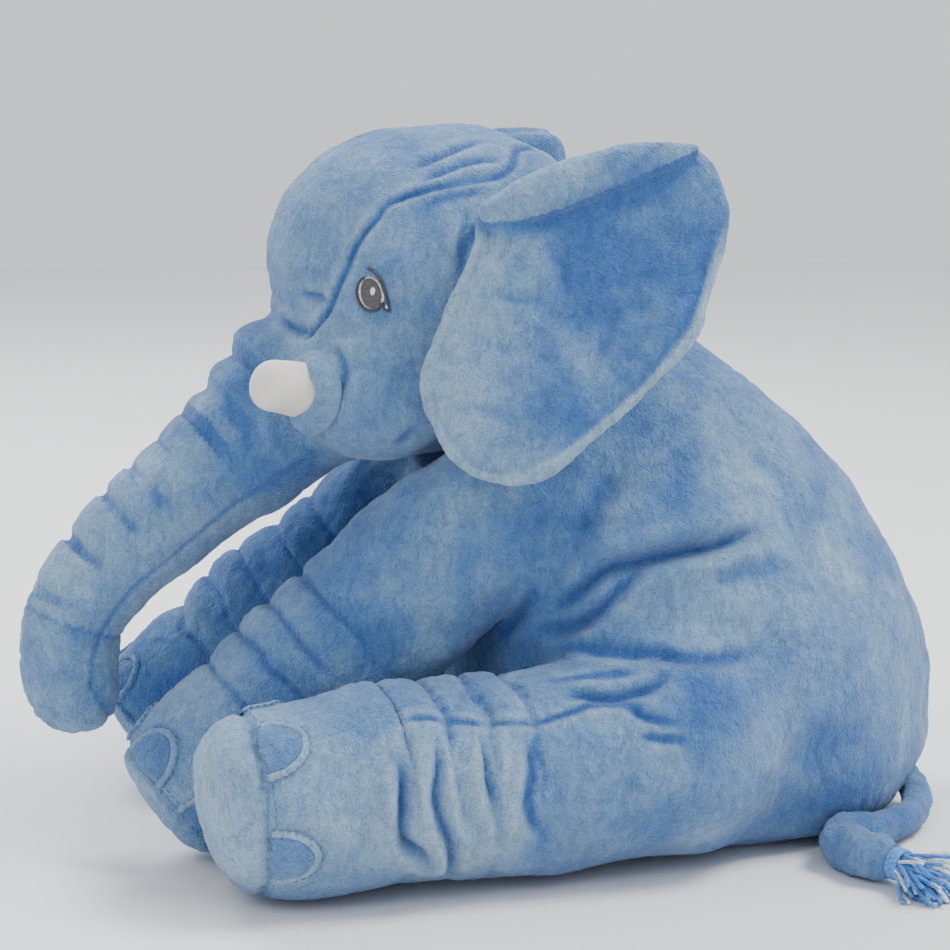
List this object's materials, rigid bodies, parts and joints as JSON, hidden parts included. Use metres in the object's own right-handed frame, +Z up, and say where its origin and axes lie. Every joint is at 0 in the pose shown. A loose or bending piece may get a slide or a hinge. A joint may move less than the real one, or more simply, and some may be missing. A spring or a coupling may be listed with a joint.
{
  "type": "stuffed elephant",
  "caption": "Sitting stuffed elephant pillow in mottled light blue plush, with a long jointed trunk, large loose ears, soft tusks, stubby legs and a tasselled tail.",
  "frame": {"origin": "under the middle of the whole animal, on the surface it sits on", "axes": "+Z up, -Y the way the body faces, +X the animal's left side"},
  "size_m": [0.466, 0.5662, 0.426],
  "materials": {
    "plush": "short-pile velour plush, mottled light blue, pile brushed in soft patches",
    "plush_pale": "the same plush with its pile lying the other way, so it looks paler",
    "plush_deep": "darker blue plush of the toe patches and the folds round the tusks",
    "felt": "smooth brushed off-white felt",
    "stuffing": "loose polyester fibrefill",
    "thread": "satin-stitch embroidery, dark and white thread",
    "yarn": "bright blue and white yarn strands"
  },
  "bodies": {
    "torso": {"torso_side_left": "plush", "torso_side_right": "plush", "torso_seat_panel": "plush_pale", "torso_stuffing": "stuffing"},
    "neck": {"neck_stuffing": "stuffing"},
    "head": {"head_side_left": "plush", "head_side_right": "plush", "head_forehead_gusset": "plush_pale", "head_stuffing": "stuffing", "tusk_left_felt": "felt", "tusk_left_stuffing": "stuffing", "tusk_left_pocket": "plush_deep", "eye_left_embroidery": "thread", "tusk_right_felt": "felt", "tusk_right_stuffing": "stuffing", "tusk_right_pocket": "plush_deep", "eye_right_embroidery": "thread"},
    "trunk_upper": {"trunk_upper_cover": "plush", "trunk_upper_stuffing": "stuffing"},
    "trunk_middle": {"trunk_middle_cover": "plush", "trunk_middle_stuffing": "stuffing"},
    "trunk_lower": {"trunk_lower_cover": "plush", "trunk_lower_stuffing": "stuffing", "trunk_end_panel": "plush_pale"},
    "ear_left": {"ear_left_front_cloth": "plush", "ear_left_batting": "stuffing", "ear_left_back_cloth": "plush_pale"},
    "ear_right": {"ear_right_front_cloth": "plush", "ear_right_batting": "stuffing", "ear_right_back_cloth": "plush_pale"},
    "tail": {"tail_cover": "plush", "tail_stuffing": "stuffing", "tail_tassel": "yarn"},
    "leg_front_left": {"leg_front_left_cover": "plush", "leg_front_left_stuffing": "stuffing", "leg_front_left_sole": "plush_pale", "leg_front_left_toe_1": "plush_deep", "leg_front_left_toe_2": "plush_deep", "leg_front_left_toe_3": "plush_deep"},
    "leg_front_right": {"leg_front_right_cover": "plush", "leg_front_right_stuffing": "stuffing", "leg_front_right_sole": "plush_pale", "leg_front_right_toe_1": "plush_deep", "leg_front_right_toe_2": "plush_deep", "leg_front_right_toe_3": "plush_deep"},
    "leg_hind_left": {"leg_hind_left_cover": "plush", "leg_hind_left_stuffing": "stuffing", "leg_hind_left_sole": "plush_pale", "leg_hind_left_toe_1": "plush_deep", "leg_hind_left_toe_2": "plush_deep", "leg_hind_left_toe_3": "plush_deep"},
    "leg_hind_right": {"leg_hind_right_cover": "plush", "leg_hind_right_stuffing": "stuffing", "leg_hind_right_sole": "plush_pale", "leg_hind_right_toe_1": "plush_deep", "leg_hind_right_toe_2": "plush_deep", "leg_hind_right_toe_3": "plush_deep"}
  },
  "joints": [
    {"name": "neck_turn", "type": "hinge", "parent": "torso", "child": "neck", "pos_m": [-0.00522, 0.01459, 0.286], "axis": [0, 0, 1], "range_deg": [-14, 4], "stiffness_Nm_per_rad": 3},
    {"name": "head_nod", "type": "hinge", "parent": "neck", "child": "head", "pos_m": [-0.00522, 0.01459, 0.286], "axis": [0.9848, 0.1736, 0], "range_deg": [-15, 2], "stiffness_Nm_per_rad": 5},
    {"name": "trunk_lift", "type": "hinge", "parent": "head", "child": "trunk_upper", "pos_m": [0.01562, -0.10359, 0.268], "axis": [-0.9848, -0.1736, 0], "range_deg": [0, 20], "stiffness_Nm_per_rad": 2.5},
    {"name": "trunk_bend", "type": "hinge", "parent": "trunk_upper", "child": "trunk_middle", "pos_m": [0.03385, -0.20699, 0.19], "axis": [-0.9848, -0.1736, 0], "range_deg": [0, 28], "stiffness_Nm_per_rad": 1.2},
    {"name": "trunk_curl", "type": "hinge", "parent": "trunk_middle", "child": "trunk_lower", "pos_m": [0.04202, -0.25328, 0.146], "axis": [-0.9848, -0.1736, 0], "range_deg": [0, 32], "stiffness_Nm_per_rad": 0.6},
    {"name": "ear_left_flap", "type": "hinge", "parent": "head", "child": "ear_left", "pos_m": [0.09193, -0.0011, 0.38529], "axis": [-0.1258, -0.9166, -0.3795], "range_deg": [0, 35], "stiffness_Nm_per_rad": 0.8},
    {"name": "ear_right_flap", "type": "hinge", "parent": "head", "child": "ear_right", "pos_m": [-0.09114, -0.03338, 0.38529], "axis": [-0.4317, 0.8183, 0.3795], "range_deg": [0, 35], "stiffness_Nm_per_rad": 0.8},
    {"name": "leg_front_left_lift", "type": "hinge", "parent": "torso", "child": "leg_front_left", "pos_m": [0.07478, -0.00241, 0.208], "axis": [-0.9468, -0.2328, 0.2221], "range_deg": [0, 12], "stiffness_Nm_per_rad": 4},
    {"name": "leg_front_right_lift", "type": "hinge", "parent": "torso", "child": "leg_front_right", "pos_m": [-0.08522, -0.01741, 0.2], "axis": [-0.9516, 0.2014, -0.2319], "range_deg": [0, 12], "stiffness_Nm_per_rad": 4},
    {"name": "leg_hind_left_lift", "type": "hinge", "parent": "torso", "child": "leg_hind_left", "pos_m": [0.12278, 0.09459, 0.07], "axis": [-0.7031, -0.1788, 0.6882], "range_deg": [0, 20], "stiffness_Nm_per_rad": 4},
    {"name": "leg_hind_right_lift", "type": "hinge", "parent": "torso", "child": "leg_hind_right", "pos_m": [-0.13322, 0.09459, 0.07], "axis": [-0.7031, 0.1788, -0.6882], "range_deg": [0, 20], "stiffness_Nm_per_rad": 4},
    {"name": "tail_swing", "type": "hinge", "parent": "torso", "child": "tail", "pos_m": [0.00478, 0.26059, 0.027], "axis": [0, 0, 1], "range_deg": [0, 50], "stiffness_Nm_per_rad": 0.15}
  ]
}
